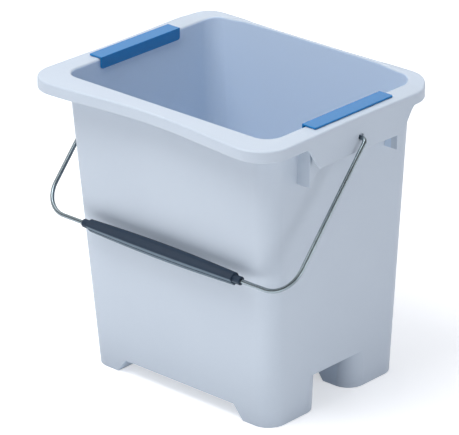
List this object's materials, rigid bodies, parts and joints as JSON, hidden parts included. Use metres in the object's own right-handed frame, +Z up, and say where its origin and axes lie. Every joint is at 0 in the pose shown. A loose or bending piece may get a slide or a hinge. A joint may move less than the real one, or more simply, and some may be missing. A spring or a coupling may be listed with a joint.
{
  "type": "mop bucket",
  "caption": "Rectangular moulded plastic mop bucket with a wide flanged rim, a swinging wire bail with a push-on grip, and angle clips on the short rims.",
  "frame": {"origin": "on the floor, under the middle of the rim", "axes": "+X along the long side, to the right seen from the front; -Y towards the front, where the bail rests; +Z up"},
  "size_m": [0.3402, 0.264, 0.3315],
  "materials": {
    "bucket_plastic": "satin moulded",
    "bail_steel": "bright drawn wire",
    "grip_plastic": "satin moulded",
    "clip_plastic": "smooth moulded"
  },
  "bodies": {
    "bucket": {"bucket_body": "bucket_plastic"},
    "bail": {"bail_wire": "bail_steel"},
    "grip": {"bail_grip": "grip_plastic"},
    "clip_left": {"clip_left": "clip_plastic"},
    "clip_right": {"clip_right": "clip_plastic"}
  },
  "joints": [
    {"name": "bail_swing", "type": "hinge", "parent": "bucket", "child": "bail", "pos_m": [0, 0.01185, 0.302], "axis": [-1, 0, 0], "range_deg": [0, 273.5]},
    {"name": "grip_turn", "type": "hinge", "parent": "bail", "child": "grip", "pos_m": [-0.001, -0.10336, 0.1694], "axis": [1, 0, 0], "continuous": true},
    {"name": "clip_left_lift", "type": "slide", "parent": "bucket", "child": "clip_left", "axis": [0, 0, 1], "range_m": [0, 0.03]},
    {"name": "clip_right_lift", "type": "slide", "parent": "bucket", "child": "clip_right", "axis": [0, 0, 1], "range_m": [0, 0.03]}
  ]
}
